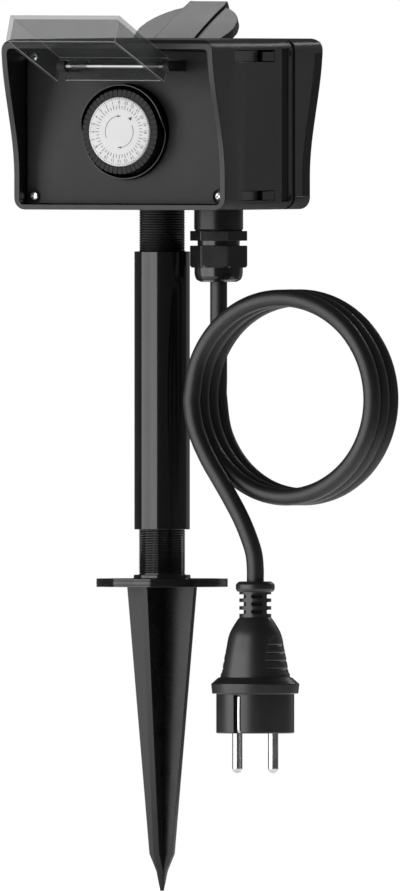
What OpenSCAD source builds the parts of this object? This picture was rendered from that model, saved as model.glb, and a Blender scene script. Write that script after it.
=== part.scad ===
// Garden socket on a ground spike: two covered outlets and a timer, with its cord and plug.
// Origin on the axis at the underside of the spike flange, +Z up, the timer faces -Y.

/* [Head] */
// Width of the head
head_w = 112; // [110:0.5:116]
// Height of the head
head_h = 79.9; // [79:0.1:84]
// Underside of the head above the ground
head_z = 176.9; // [176.9:0.1:180]
// Depth of the top rims from the middle
rim_top = 55.4; // [55:0.1:58]
// Depth of the bottom rims from the middle
rim_low = 42.5; // [41:0.1:44]
// Outer corner radius of the head
corner_r = 5.5; // [4:0.1:8]
// Thickness of the side walls
side_wall = 2.9; // [2.6:0.1:3.2]
// Thickness of the top wall
top_wall = 4.4; // [4:0.1:4.8]
// Thickness of the bottom wall
floor_wall = 2.5; // [2.2:0.1:2.8]
// Front face of each panel, from the middle
panel_y = 35.5; // [35:0.1:36.5]
// Thickness of the two panels
panel_t = 2.5; // [2:0.1:3]
// Rear edge of the front shell
split_y = 15.4; // [15:0.1:16]
// Width of the groove between the shells
groove_w = 6.5; // [5:0.1:7]

/* [Stem] */
// Outer diameter of the extension tube
tube_d = 26; // [25.6:0.1:27]
// Length of the extension tube
tube_len = 130.3; // [100:0.1:130.3]
// Bottom of the tube above the ground in the loosened state
tube_z = 26.9; // [26:0.1:28]
// Outer diameter of the threaded stubs
stub_d = 21.6; // [21:0.1:21.8]
// Thread pitch of the stubs
thread_pitch = 1.15; // [1:0.05:1.5]
// Depth by which a stub stays in the tube in the loosened state
stub_in = 2.5; // [2:0.1:6]
// Gap between stub and tube thread, on the radius
thread_gap = 0.3; // [0.25:0.05:0.5]

/* [Spike] */
// Diameter of the spike flange
flange_d = 61.6; // [55:0.1:70]
// Thickness of the spike flange
flange_t = 3.9; // [3:0.1:5]
// Diameter of the stop collar
collar_d = 26.4; // [26:0.1:30]
// Length of the spike below the flange
spike_len = 142.5; // [120:0.5:150]
// Half length of a fin under the flange
fin_top = 17.9; // [14:0.1:24]
// Half length of a fin above the shoulder
fin_low = 6.1; // [4:0.1:8]
// Thickness of the fins
fin_t = 3.2; // [2.4:0.1:4]

/* [Timer] */
// Height of the timer axis
timer_z = 213.5; // [213:0.1:215]
// Outer diameter of the timer collar
collar_od = 44.7; // [44:0.1:46]
// Diameter of the turning ring
ring_d = 40; // [39:0.1:41]
// Diameter of the white dial
dial_d = 32.5; // [31:0.1:33]
// Number of switching segments
segments = 48; // [24:24:96]
// Teeth of the dial gear
dial_teeth = 48; // [48:1:48]
// Teeth of the idler wheel
wheel_teeth = 32; // [32:1:32]
// Teeth of both pinions
pinion_teeth = 8; // [8:1:8]
// Gear module
gear_m = 0.4; // [0.4:0.1:0.4]

/* [Timer lid] */
// Depth of the lid hinge from the middle
lid_hinge_y = 50; // [49.6:0.1:50.4]
// Height of both hinge axes
hinge_z = 244.4; // [244:0.1:244.6]
// Width of the clear lid
lid_w = 58; // [57:0.1:60]
// Length of the clear lid below its hinge
lid_len = 50.5; // [46:0.1:52]
// Depth of the clear lid
lid_depth = 12; // [11:0.1:12.2]
// Wall of the clear lid
lid_wall = 1.5; // [1.2:0.1:1.8]
// Angle at which the lid stands open
lid_open = 111; // [90:1:112]
// Diameter of the steel hinge rod
rod_d = 2.2; // [2:0.1:2.4]

/* [Sockets] */
// Distance between the two outlets
outlet_gap = 53; // [52.5:0.1:53.5]
// Diameter of the outlet recess
recess_d = 39; // [38.6:0.1:39.4]
// Depth of the outlet recess
recess_depth = 17.5; // [17:0.1:18]
// Distance between the pin holes
pin_gap = 19; // [18.8:0.1:19.2]
// Diameter of the pin holes
hole_d = 5.2; // [5:0.1:5.6]
// Outer diameter of the outlet collars
outlet_d = 50; // [49:0.1:51]
// Diameter of the flaps
flap_d = 50; // [49:0.1:51]
// Distance of the flap centre from its hinge
flap_reach = 28; // [27.5:0.1:28.5]
// Distance of the lip from the hinge
lip_reach = 55.2; // [54:0.1:56]
// Angle at which a flap stands open
flap_open = 117; // [90:1:117]

/* [Cord and plug] */
// Diameter of the cord
cord_d = 8.1; // [7:0.1:8.4]
// Distance of the gland from the head's middle
gland_x = 30; // [29:0.1:30]
// Radius of the coil
coil_r = 46.65; // [40:0.05:50]
// Turns of the coil
coil_turns = 3; // [1:1:3]
// Distance between neighbouring turns
coil_pitch = 9; // [8.8:0.1:10]
// Height of the coil's middle
coil_z = 89.1; // [89.1:0.1:95]
// Distance of the plug's axis from the head's middle
plug_x = 63.8; // [63.8:0.1:64]
// Diameter of the plug's face
face_d = 36.6; // [36:0.1:37]
// Diameter of the plug's pins
pin_d = 4.8; // [4.7:0.05:4.9]

/* [Hidden] */
$fn = 64;

// Clearance between fitted pieces of the head
fit = 0.15;
top_z = head_z + head_h;
floor_z = head_z + floor_wall;
ceil_z = top_z - top_wall;
inner_half = head_w / 2 - side_wall;
inner_r = 2;
back_y = panel_y - panel_t;
rear_edge = split_y + groove_w;
groove_deep = 0.9;
tongue_t = 2;
tongue_y = 13.2;

// Corner screws of the panels
screw_inset = 3.8;
screw_x = inner_half - screw_inset;
screw_low = floor_z + screw_inset;
screw_high = ceil_z - screw_inset;
screw_r = 1.5;
screw_head_r = 2.45;
post_r = 4;
post_len = 11;

// Windows of the snap hooks
window_y = [-32.6, -25.4];
window_z = [[ceil_z - 6.3, ceil_z - 0.6], [floor_z + 1.8, floor_z + 6.5]];
hook_z = [[ceil_z - 5.9, ceil_z - 1.5], [floor_z + 2.1, floor_z + 6.1]];
window_end = 8;
hook_y = -4;

stub_r = stub_d / 2;
thread_deep = 0.5;
bore_r = stub_r + thread_gap;
tube_top = tube_z + tube_len;
collar_top = flange_t + 1.8;
shoulder_z = 125;

timer_r = collar_od / 2;
collar_wall = 0.7;
collar_high = 41.5;
collar_low = 38.1;
case_back = -8.5;
plate_y = -23;
post_d = 4;
gear_y = -29;
gear_w = 2.5;
wheel_y = -26;
idler_dist = gear_m * (dial_teeth + pinion_teeth) / 2;
motor_dist = gear_m * (wheel_teeth + pinion_teeth) / 2;
motor_x = idler_dist - motor_dist * cos(45);
motor_z = -motor_dist * sin(45);

lid_x = -1.2;
lid_front = 5.2;
lid_end = 1.2;
lid_gap = 0.4;
left_bracket = [lid_x - lid_w / 2 + lid_wall + lid_gap, lid_x - lid_w / 2 + lid_wall + lid_gap + 4];
right_bracket = [lid_x + lid_w / 2 + lid_gap, lid_x + lid_w / 2 + lid_gap + 3];
knuckles = [[-19.8, -12], [18.6, 26.4]];
eye_r = 2.5;

outlet_x = outlet_gap / 2;
outlet_z = hinge_z - flap_reach;
flap_y = 50;
mouth_y = flap_y - 1.1;
recess_y = mouth_y - recess_depth;
insert_back = recess_y - 3;
sleeve_back = 11;
bus_back = sleeve_back - 1.5;
insert_r = 22.2;
insert_flange_r = insert_r + 2.3;
flap_knuckle_r = 3;
flap_knuckle = 11.7;

coil_x = gland_x + coil_r;
coil_end_y = -coil_turns * coil_pitch;
gland_top = 166.9;
gland_low = 143;
boss_low = gland_top + 0.5;
hex_turn = 18.8;
tail_top = 187;
block_top = floor_z + 12;
plug_y = coil_end_y;
boot_top = 2.9;
boot_low = -13.9;
face_z = -68.3;
pin_end = -87.1;
pin_root_r = 2.1;
pin_root = 8;

// Cord route from the end of the coil to the plug
lead_points = [[30, -27, 81], [30, -27, 77], [33.3, -27.6, 70.5], [39.1, -28.6, 61],
               [46, -28.8, 50.5], [52.2, -28.6, 40.7], [57, -28, 32], [60.6, -27.4, 23.5],
               [63, -27, 16], [63.8, -27, 9], [63.8, -27, 2.9]];

black = "#2b2b2b";
panel_grey = "#474747";
steel = "#b9bcc0";
brass_col = "#c9a552";

// Outline of a rounded rectangle between two corners
function round_rect(x0, z0, x1, z1, r, n = 6) = [
    for (c = [[x1 - r, z1 - r, 0], [x0 + r, z1 - r, 90], [x0 + r, z0 + r, 180], [x1 - r, z0 + r, 270]])
        for (k = [0:n]) [c[0] + r * cos(c[2] + 90 * k / n), c[1] + r * sin(c[2] + 90 * k / n)]
];

// Depth of a hood rim at a height between the bottom and the top
function rim_at(t) = rim_low + (rim_top - rim_low) * (t <= 0 ? 0 : t >= 1 ? 1 : t * t * (3 - 2 * t));

// Prism along Y of an outline drawn in X and Z
module along_y(y0, y1) {
    translate([0, y1, 0]) rotate([90, 0, 0]) linear_extrude(y1 - y0) children();
}

// Prism along X of an outline drawn in Y and Z
module along_x(x0, x1) {
    translate([x0, 0, 0]) rotate([90, 0, 90]) linear_extrude(x1 - x0) children();
}

module y_cyl(r, y0, y1, x = 0, z = 0) {
    translate([x, y1, z]) rotate([90, 0, 0]) cylinder(r = r, h = y1 - y0);
}

module x_cyl(r, x0, x1, y = 0, z = 0) {
    translate([x0, y, z]) rotate([0, 90, 0]) cylinder(r = r, h = x1 - x0);
}

module box(x0, x1, y0, y1, z0, z1) {
    translate([x0, y0, z0]) cube([x1 - x0, y1 - y0, z1 - z0]);
}

// Ringed stub as one turned profile from z0 up to z1
module threaded_rod(r, z0, z1) {
    rings = floor((z1 - z0) / thread_pitch);
    step = (z1 - z0) / rings;
    rotate_extrude() polygon(concat([[0, z0]],
        [for (k = [0:rings - 1]) each [[r - thread_deep, z0 + k * step], [r, z0 + (k + 0.5) * step]]],
        [[r - thread_deep, z1], [0, z1]]));
}

module shell_outline() {
    polygon(round_rect(-head_w / 2, head_z, head_w / 2, top_z, corner_r));
}

module inner_outline(gap = 0) {
    polygon(round_rect(-inner_half + gap, floor_z + gap, inner_half - gap, ceil_z - gap, inner_r));
}

// Space in front of the curved rim of the hood, on the side that faces +Y
module rim_cut() {
    rim_z0 = head_z + 15.9;
    rim_z1 = top_z - 2;
    steps = 12;
    along_x(-head_w, head_w) polygon(concat(
        [[rim_low, head_z - 5]],
        [for (k = [0:steps]) [rim_at(k / steps), rim_z0 + (rim_z1 - rim_z0) * k / steps]],
        [[rim_top, top_z + 5], [rim_top + 20, top_z + 5], [rim_top + 20, head_z - 5]]));
}

// Turned to the side that faces -Y
module facing_front() {
    mirror([0, 1, 0]) children();
}

module post_places() {
    for (x = [-screw_x, screw_x], z = [screw_low, screw_high]) translate([x, 0, z]) children();
}

module screw_posts() {
    intersection() {
        post_places() difference() {
            y_cyl(post_r, back_y - post_len, back_y);
            y_cyl(screw_r, back_y - post_len + 1, back_y + 1);
        }
        along_y(0, back_y + 1) polygon(round_rect(-inner_half - 1, floor_z - 1, inner_half + 1, ceil_z + 1, inner_r));
    }
}

module ground_spike() {
    color(black) {
        cylinder(r = flange_d / 2, h = flange_t);
        translate([0, 0, flange_t]) cylinder(r = collar_d / 2, h = collar_top - flange_t);
        threaded_rod(stub_r, collar_top, tube_z + stub_in);
        for (a = [0, 90]) rotate([0, 0, a]) translate([0, fin_t / 2, 0]) rotate([90, 0, 0])
            linear_extrude(fin_t) polygon([[-fin_top, 0], [-fin_low, -shoulder_z], [-2.4, -shoulder_z - 8.3],
                [-1.1, -spike_len], [1.1, -spike_len], [2.4, -shoulder_z - 8.3],
                [fin_low, -shoulder_z], [fin_top, 0]]);
    }
}

module extension_tube() {
    rings = 20;
    color(black) rotate_extrude() polygon(concat(
        [[tube_d / 2, tube_z + 0.6], [tube_d / 2, tube_top - 0.6], [tube_d / 2 - 0.6, tube_top]],
        [for (k = [0:rings - 1]) each [[bore_r, tube_top - k * thread_pitch],
            [bore_r + thread_deep, tube_top - (k + 0.5) * thread_pitch]]],
        [[bore_r, tube_top - rings * thread_pitch], [bore_r, tube_z + rings * thread_pitch]],
        [for (k = [rings - 1:-1:0]) each [[bore_r + thread_deep, tube_z + (k + 0.5) * thread_pitch],
            [bore_r, tube_z + k * thread_pitch]]],
        [[tube_d / 2 - 0.6, tube_z]]));
}

// Sprung tongue that slopes into a side window from its front end
module window_tongue(y0, z0, z1) {
    outer = head_w / 2 - 0.1;
    tip_y = hook_y - 0.5;
    translate([0, 0, z0 + 0.2]) linear_extrude(z1 - z0 - 0.4) polygon([[outer, y0 - 0.3],
        [inner_half, tip_y], [inner_half - 1.4, tip_y], [outer - 1.5, y0 - 0.3]]);
}

module front_shell() {
    color(black) {
        difference() {
            union() {
                difference() {
                    along_y(-rim_top, split_y) shell_outline();
                    along_y(-rim_top - 1, split_y + 1) inner_outline();
                    facing_front() rim_cut();
                }
                facing_front() screw_posts();
                threaded_rod(stub_r, tube_top - stub_in, head_z + 0.2);
                translate([gland_x, 0, boss_low]) cylinder(r = 11.5, h = head_z + 1 - boss_low);
            }
            translate([gland_x, 0, boss_low - 1]) cylinder(r = 8.05, h = floor_z + 2 - boss_low);
            for (s = [-1, 1], k = [0, 1]) box(s > 0 ? inner_half - 1 : -head_w / 2 - 1,
                s > 0 ? head_w / 2 + 1 : -inner_half + 1, window_y[k], window_end, window_z[k][0], window_z[k][1]);
        }
        for (s = [-1, 1], k = [0, 1]) mirror([s < 0 ? 1 : 0, 0, 0])
            window_tongue(window_y[k], window_z[k][0], window_z[k][1]);
    }
}

module rear_shell() {
    color(black) {
        difference() {
            along_y(rear_edge, rim_top) shell_outline();
            along_y(rear_edge - 1, rim_top + 1) inner_outline(fit + tongue_t);
            along_y(rear_edge + 4, rim_top + 1) inner_outline();
            rim_cut();
            difference() {
                along_y(rear_edge + 1.9, rear_edge + 5.5) polygon(round_rect(-head_w, head_z - 20,
                    head_w, top_z + 20, corner_r));
                along_y(rear_edge + 1, rear_edge + 6) polygon(round_rect(-head_w / 2 + 0.8,
                    head_z + 0.8, head_w / 2 - 0.8, top_z - 0.8, corner_r - 0.8));
            }
        }
        difference() {
            along_y(tongue_y, rear_edge + 0.5) inner_outline(fit);
            along_y(tongue_y - 1, rear_edge + 1) inner_outline(fit + tongue_t);
        }
        screw_posts();
        for (s = [-1, 1], k = [0, 1]) mirror([s < 0 ? 1 : 0, 0, 0]) {
            box(inner_half - fit - tongue_t, inner_half - fit, hook_y, tongue_y + 1, hook_z[k][0], hook_z[k][1]);
            box(inner_half - fit - 1, head_w / 2 - 0.6, hook_y, window_end - 0.3, hook_z[k][0], hook_z[k][1]);
        }
    }
}

module parting_seal() {
    color("#161616") difference() {
        along_y(split_y, rear_edge) polygon(round_rect(-head_w / 2 + groove_deep, head_z + groove_deep,
            head_w / 2 - groove_deep, top_z - groove_deep, corner_r - groove_deep));
        along_y(split_y - 1, rear_edge + 1) inner_outline(fit);
    }
}

module panel_plate() {
    difference() {
        along_y(back_y, panel_y) inner_outline(0.1);
        post_places() {
            y_cyl(screw_r + 0.1, back_y - 1, panel_y + 1);
            y_cyl(3.5, panel_y - 1.2, panel_y + 1);
        }
    }
}

module lid_bracket(span, low, high) {
    difference() {
        union() {
            box(span[0], span[1], -lid_hinge_y, -panel_y + 0.5, hinge_z - low, hinge_z + high);
            x_cyl(eye_r, span[0], span[1], -lid_hinge_y, hinge_z);
        }
        x_cyl(rod_d / 2, -head_w / 2, head_w / 2, -lid_hinge_y, hinge_z);
    }
}

module timer_panel() {
    color(panel_grey) {
        difference() {
            facing_front() panel_plate();
            y_cyl(timer_r + 0.05, -panel_y - 1, -back_y + 1, 0, timer_z);
        }
        lid_bracket(left_bracket, 3, 0.8);
        lid_bracket(right_bracket, eye_r, eye_r);
    }
}

module socket_panel() {
    color(panel_grey) {
        difference() {
            union() {
                panel_plate();
                for (s = [-1, 1]) y_cyl(outlet_d / 2, panel_y - 0.5, mouth_y, s * outlet_x, outlet_z);
            }
            for (s = [-1, 1]) y_cyl(insert_r + 0.05, back_y - 1, mouth_y + 1, s * outlet_x, outlet_z);
        }
        for (s = [-1, 1], t = [-1, 1]) difference() {
            union() {
                box(s * outlet_x + t * 13.5 - 1.5, s * outlet_x + t * 13.5 + 1.5,
                    panel_y - 0.5, flap_y, hinge_z - 2.8, hinge_z + 2.8);
                x_cyl(2.8, s * outlet_x + t * 13.5 - 1.5, s * outlet_x + t * 13.5 + 1.5, flap_y, hinge_z);
            }
            x_cyl(1.5, -head_w / 2, head_w / 2, flap_y, hinge_z);
        }
    }
}

// Cross-head screw lying along Y with its head at +Y
module panel_screw() {
    head_y = panel_y - 1.2;
    difference() {
        union() {
            y_cyl(screw_head_r, head_y, head_y + 1.6);
            y_cyl(screw_r, head_y - 10, head_y + 0.5);
        }
        for (a = [0, 90]) translate([0, head_y + 1.6, 0]) rotate([0, a, 0])
            cube([2.8, 1.8, 0.6], center = true);
    }
}

module timer_panel_screws() {
    color(steel) facing_front() post_places() panel_screw();
}

module socket_panel_screws() {
    color(steel) post_places() panel_screw();
}

// Cup of the timer with a rim that steps back in its lower half
module timer_housing() {
    color(black) difference() {
        union() {
            y_cyl(timer_r, -collar_high, case_back, 0, timer_z);
            y_cyl(timer_r + 2.1, -back_y, -back_y + 2, 0, timer_z);
        }
        y_cyl(timer_r - collar_wall, -collar_high - 1, -back_y + 1, 0, timer_z);
        y_cyl(timer_r - 1.5, -back_y - 1, case_back - 1.5, 0, timer_z);
        box(-timer_r - 1, timer_r + 1, -collar_high - 1, -collar_low, timer_z - timer_r - 1, timer_z);
    }
}

module gear_plate() {
    color("#8d8f93") difference() {
        union() {
            y_cyl(timer_r - 1.55, plate_y, plate_y + 1, 0, timer_z);
            y_cyl(post_d / 2, -38, plate_y + 0.5, 0, timer_z);
            y_cyl(0.8, gear_y - 0.8, plate_y + 0.5, idler_dist, timer_z);
        }
        y_cyl(1.2, plate_y - 1, plate_y + 2, motor_x, timer_z + motor_z);
    }
}

// Spur gear outline with wide tooth gaps
module gear_outline(teeth, turn) {
    pitch_r = gear_m * teeth / 2;
    tip_r = pitch_r + 0.3;
    root_r = pitch_r - 0.45;
    polygon([for (k = [0:teeth - 1]) let (a = turn + 360 * k / teeth, q = 360 / teeth)
        each [[root_r * cos(a - 0.24 * q), root_r * sin(a - 0.24 * q)],
              [tip_r * cos(a - 0.1 * q), tip_r * sin(a - 0.1 * q)],
              [tip_r * cos(a + 0.1 * q), tip_r * sin(a + 0.1 * q)],
              [root_r * cos(a + 0.24 * q), root_r * sin(a + 0.24 * q)]]]);
}

module dial_ring() {
    color("#3a3a3a") difference() {
        y_cyl(ring_d / 2, -42.2, -35, 0, timer_z);
        y_cyl(dial_d / 2 + 0.1, -43, -34, 0, timer_z);
        for (k = [0:segments - 1]) translate([0, -42.2, timer_z]) rotate([0, 360 * k / segments, 0])
            translate([dial_d / 2 + 2.3, 0, 0]) cube([3.4, 2.4, 0.5], center = true);
    }
}

module dial_face() {
    color("#e8e8e8") difference() {
        y_cyl(dial_d / 2, -42.8, -41.6, 0, timer_z);
        y_cyl(1, -43.5, -42.5, 0, timer_z);
    }
}

module dial_gear() {
    color("#d8d4c8") difference() {
        union() {
            y_cyl(ring_d / 2, -35, -33.8, 0, timer_z);
            y_cyl(4, -41.6, gear_y + gear_w, 0, timer_z);
            translate([0, 0, timer_z]) along_y(gear_y, gear_y + gear_w) gear_outline(dial_teeth, 0);
        }
        y_cyl(post_d / 2 + 0.05, -38.3, gear_y + gear_w + 1, 0, timer_z);
    }
}

module idler_gear() {
    color("#d8d4c8") translate([idler_dist, 0, timer_z]) difference() {
        union() {
            along_y(gear_y - 0.2, wheel_y + 0.1) gear_outline(pinion_teeth, 180 / pinion_teeth);
            along_y(wheel_y, wheel_y + 2) gear_outline(wheel_teeth, 0);
        }
        y_cyl(0.85, gear_y - 1, wheel_y + 3);
    }
}

module motor_pinion() {
    color(brass_col) translate([motor_x, 0, timer_z + motor_z]) {
        along_y(wheel_y - 0.2, wheel_y + 2.2) gear_outline(pinion_teeth, 45 + 180 / pinion_teeth);
        y_cyl(0.8, wheel_y, plate_y + 4);
    }
}

module timer_motor() {
    color(steel) difference() {
        y_cyl(9, plate_y + 1, case_back - 1.5, motor_x, timer_z + motor_z);
        y_cyl(0.85, plate_y, plate_y + 4.2, motor_x, timer_z + motor_z);
    }
}

module micro_switch() {
    color("#b33a2e") difference() {
        box(-18.3, -11.5, -31.5, plate_y, timer_z - 3, timer_z + 3);
        y_cyl(0.75, -33, -27, -15, timer_z);
    }
}

module switch_plunger() {
    color("#f0f0f0") y_cyl(0.7, -33.4, -28.5, -15, timer_z);
}

// Lid with its hinge axis on the X axis, hanging down, its outer face towards -Y
module lid_closed() {
    half = lid_w / 2;
    back = lid_depth - lid_front;
    slot_r = left_bracket[1] - lid_x + lid_gap;
    difference() {
        union() {
            difference() {
                box(-half, half, -lid_front, back, -lid_len, lid_end + lid_wall);
                box(-half + lid_wall, half - lid_wall, -lid_front + lid_wall, back + 1,
                    -lid_len + lid_wall, lid_end);
            }
            for (k = knuckles) {
                x_cyl(2.4, k[0], k[1]);
                box(k[0], k[1], -lid_front + 1, 0, 1, lid_end + 0.5);
            }
        }
        x_cyl(rod_d / 2 + 0.05, -half + lid_wall, half + 1);
        box(-half + lid_wall, slot_r, -3, back + 1, -1, lid_end + lid_wall + 1);
    }
}

module timer_lid() {
    color([0.82, 0.86, 0.88, 0.45]) translate([lid_x, -lid_hinge_y, hinge_z]) rotate([-lid_open, 0, 0])
        lid_closed();
}

module lid_hinge_rod() {
    color(steel) x_cyl(rod_d / 2, left_bracket[0], right_bracket[1], -lid_hinge_y, hinge_z);
}

module socket_insert(x) {
    color(black) difference() {
        union() {
            y_cyl(insert_r, insert_back, mouth_y, x, outlet_z);
            y_cyl(insert_flange_r, back_y - 2.5, back_y, x, outlet_z);
        }
        y_cyl(recess_d / 2, recess_y, mouth_y + 1, x, outlet_z);
        for (s = [-1, 1]) {
            y_cyl(hole_d / 2, insert_back - 1, recess_y + 1, x + s * pin_gap / 2, outlet_z);
            box(x - 3.1, x + 3.1, insert_back - 1, mouth_y - 4, s > 0 ? outlet_z + 18 : outlet_z - 20.7,
                s > 0 ? outlet_z + 20.7 : outlet_z - 18);
        }
    }
}

module contact_sleeves() {
    color(brass_col) for (s = [-1, 1], t = [-1, 1]) difference() {
        y_cyl(3.4, sleeve_back, insert_back, s * outlet_x + t * pin_gap / 2, outlet_z);
        y_cyl(2.45, sleeve_back + 1, insert_back + 1, s * outlet_x + t * pin_gap / 2, outlet_z);
    }
}

module earth_clips() {
    color(brass_col) for (s = [-1, 1]) {
        box(s * outlet_x - 3, s * outlet_x + 3, insert_back - 1.2, insert_back,
            outlet_z - 20.6, outlet_z + 20.6);
        for (t = [-1, 1]) box(s * outlet_x - 3, s * outlet_x + 3, insert_back - 0.5, mouth_y - 4.2,
            t > 0 ? outlet_z + 19.7 : outlet_z - 20.6, t > 0 ? outlet_z + 20.6 : outlet_z - 19.7);
    }
}

// Strip across the backs of the sleeves with two tabs, on the side that s gives
module busbar(s) {
    z0 = s > 0 ? outlet_z + 4 : outlet_z - 8.4;
    color(brass_col) {
        box(s > 0 ? -outlet_x - 12.9 : -outlet_x + 6.1, s > 0 ? outlet_x - 6.1 : outlet_x + 12.9,
            bus_back, sleeve_back, z0, z0 + 4.4);
        for (t = [-1, 1]) box(t * outlet_x - s * pin_gap / 2 - 3.4, t * outlet_x - s * pin_gap / 2 + 3.4,
            bus_back, sleeve_back, s > 0 ? outlet_z - 3 : outlet_z - 6, s > 0 ? outlet_z + 6 : outlet_z + 3);
    }
}

module live_busbar() {
    busbar(1);
}

module neutral_busbar() {
    busbar(-1);
}

module earth_bar() {
    color(brass_col) box(-outlet_x - 3, outlet_x + 3, insert_back - 2.4, insert_back - 1.2, 196.2, 200.2);
}

// Flap with its hinge axis on the X axis, hanging down, its outer face towards +Y
module flap_closed() {
    color(black) difference() {
        union() {
            y_cyl(flap_d / 2, 0, 4, 0, -flap_reach);
            box(-10.5, 10.5, 0, 5, -lip_reach + 3, -14);
            box(-10, 10, 0, 5, -lip_reach, -lip_reach + 6);
            box(-flap_knuckle, flap_knuckle, 0, flap_knuckle_r, -8, 0);
            x_cyl(flap_knuckle_r, -flap_knuckle, flap_knuckle);
        }
        x_cyl(1.55, -15, 15);
        y_cyl(18.6, -1, 1.5, 0, -flap_reach);
    }
}

module flap_seal_closed() {
    color("#161616") difference() {
        y_cyl(23.4, -0.8, 0, 0, -flap_reach);
        y_cyl(20.4, -2, 1, 0, -flap_reach);
    }
}

module flap_left() {
    translate([-outlet_x, flap_y, hinge_z]) rotate([flap_open, 0, 0]) flap_closed();
}

module flap_right() {
    translate([outlet_x, flap_y, hinge_z]) flap_closed();
}

module flap_seal_left() {
    translate([-outlet_x, flap_y, hinge_z]) rotate([flap_open, 0, 0]) flap_seal_closed();
}

module flap_seal_right() {
    translate([outlet_x, flap_y, hinge_z]) flap_seal_closed();
}

module flap_hinge_pins() {
    color(steel) for (s = [-1, 1]) x_cyl(1.5, s * outlet_x - 15, s * outlet_x + 15, flap_y, hinge_z);
}

module terminal_block() {
    color("#e9e4d4") difference() {
        box(-16, 12, -6, 8, floor_z, block_top);
        for (k = [0:2]) translate([-12 + 9 * k, -2.5, block_top - 4]) cylinder(r = 1.5, h = 5);
    }
}

module terminal_screws() {
    color(steel) for (k = [0:2]) translate([-12 + 9 * k, -2.5, block_top - 4]) difference() {
        cylinder(r = 1.5, h = 3.4);
        translate([-2, -0.3, 2.6]) cube([4, 0.6, 1]);
    }
}

// Round wire through right-angled points
module wire(points, r) {
    for (k = [0:len(points) - 2]) {
        d = points[k + 1] - points[k];
        translate(points[k]) rotate([0, acos(d[2] / norm(d)), atan2(d[1], d[0])]) cylinder(r = r, h = norm(d), $fn = 24);
    }
    for (k = [1:1:len(points) - 2]) translate(points[k]) sphere(r = r, $fn = 24);
}

module live_wires() {
    color("#6b3a1e") {
        wire([[gland_x - 1, -2.6, tail_top], [gland_x - 1, -2.6, tail_top + 1.5], [12, -2.6, tail_top + 1.5]], 1.1);
        wire([[-6, 5, block_top], [-6, 5, outlet_z + 6], [-6, bus_back, outlet_z + 6]], 1.1);
        wire([[-12, 3, block_top], [-12, 3, 205], [-12, case_back, 205]], 1.1);
    }
}

module neutral_wires() {
    color("#2f62b0") {
        wire([[gland_x - 1, 0, tail_top], [gland_x - 1, 0, tail_top + 1.5], [12, 0, tail_top + 1.5]], 1.1);
        wire([[1, 5, block_top], [1, 5, outlet_z - 6], [1, bus_back, outlet_z - 6]], 1.1);
        wire([[6, 3, block_top], [6, 3, 205], [6, case_back, 205]], 1.1);
    }
}

module earth_wires() {
    color("#7fae3a") {
        wire([[gland_x - 1, 2.6, tail_top], [gland_x - 1, 2.6, tail_top + 1.5], [12, 2.6, tail_top + 1.5]], 1.1);
        wire([[10, 6, block_top], [10, 6, 198.2], [10, insert_back - 2.4, 198.2]], 1.1);
    }
}

module hexagon(across, z0, z1) {
    translate([gland_x, 0, z0]) rotate([0, 0, hex_turn]) cylinder(r = across / 2 / cos(30), h = z1 - z0, $fn = 6);
}

module gland_cyl(r, z0, z1) {
    translate([gland_x, 0, z0]) cylinder(r = r, h = z1 - z0);
}

module gland_body() {
    color(black) difference() {
        union() {
            hexagon(23.6, 162.3, gland_top);
            gland_cyl(9.9, 160, 162.4);
            gland_cyl(9, 152, 160.1);
            gland_cyl(8, gland_top - 0.1, 183.6);
        }
        gland_cyl(6.5, 151, 164);
        gland_cyl(4.6, 163, 184);
    }
}

module gland_oring() {
    color("#161616") difference() {
        gland_cyl(11, gland_top, boss_low);
        gland_cyl(8, gland_top - 1, boss_low + 1);
    }
}

module gland_seal() {
    color("#4a4a4a") difference() {
        gland_cyl(6.5, 147, 161);
        gland_cyl(cord_d / 2, 146, 162);
    }
}

module gland_clamp() {
    color("#dcdcdc") difference() {
        gland_cyl(8.9, 147, 152);
        gland_cyl(6.5, 146, 153);
    }
}

module gland_nut() {
    color(black) difference() {
        union() {
            intersection() {
                hexagon(23.6, 149.8, 160);
                translate([gland_x, 0, 149.8]) cylinder(r1 = 12.8, r2 = 23, h = 10.2);
            }
            translate([gland_x, 0, 0]) rotate_extrude() polygon([[0, gland_low], [7.9, gland_low],
                [9.6, gland_low + 0.5], [10.9, gland_low + 1.8], [11.35, gland_low + 3.5], [11.35, 150.2], [0, 150.2]]);
        }
        gland_cyl(9, 147, 161);
        gland_cyl(cord_d / 2 + 0.5, 142, 148);
    }
}

module gland_locknut() {
    color("#3a3a3a") difference() {
        hexagon(22, floor_z, floor_z + 4);
        gland_cyl(8, floor_z - 1, floor_z + 5);
    }
}

module cord_tail() {
    color("#303030") gland_cyl(cord_d / 2, gland_low, tail_top);
}

// Ring of a swept tube around a point, square to the direction t
function ring_at(p, t, sides) =
    let (u = cross(t, [0, 1, 0]) / norm(cross(t, [0, 1, 0])), w = cross(u, t))
    [for (k = [0:sides - 1]) p + cord_d / 2 * (cos(360 * k / sides) * u + sin(360 * k / sides) * w)];

function unit(v) = v / norm(v);

// Direction of a route at its point k
function along(pts, k) = k == 0 ? unit(pts[1] - pts[0])
    : k == len(pts) - 1 ? unit(pts[k] - pts[k - 1])
    : unit(unit(pts[k] - pts[k - 1]) + unit(pts[k + 1] - pts[k]));

module swept_tube(pts, sides) {
    n = len(pts);
    polyhedron(
        points = [for (k = [0:n - 1]) each ring_at(pts[k], along(pts, k), sides)],
        faces = concat(
            [[for (k = [0:sides - 1]) sides - 1 - k]],
            [for (j = [0:n - 2], k = [0:sides - 1]) each [
                [j * sides + k, j * sides + (k + 1) % sides, (j + 1) * sides + k],
                [j * sides + (k + 1) % sides, (j + 1) * sides + (k + 1) % sides, (j + 1) * sides + k]]],
            [[for (k = [0:sides - 1]) (n - 1) * sides + k]]));
}

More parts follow.
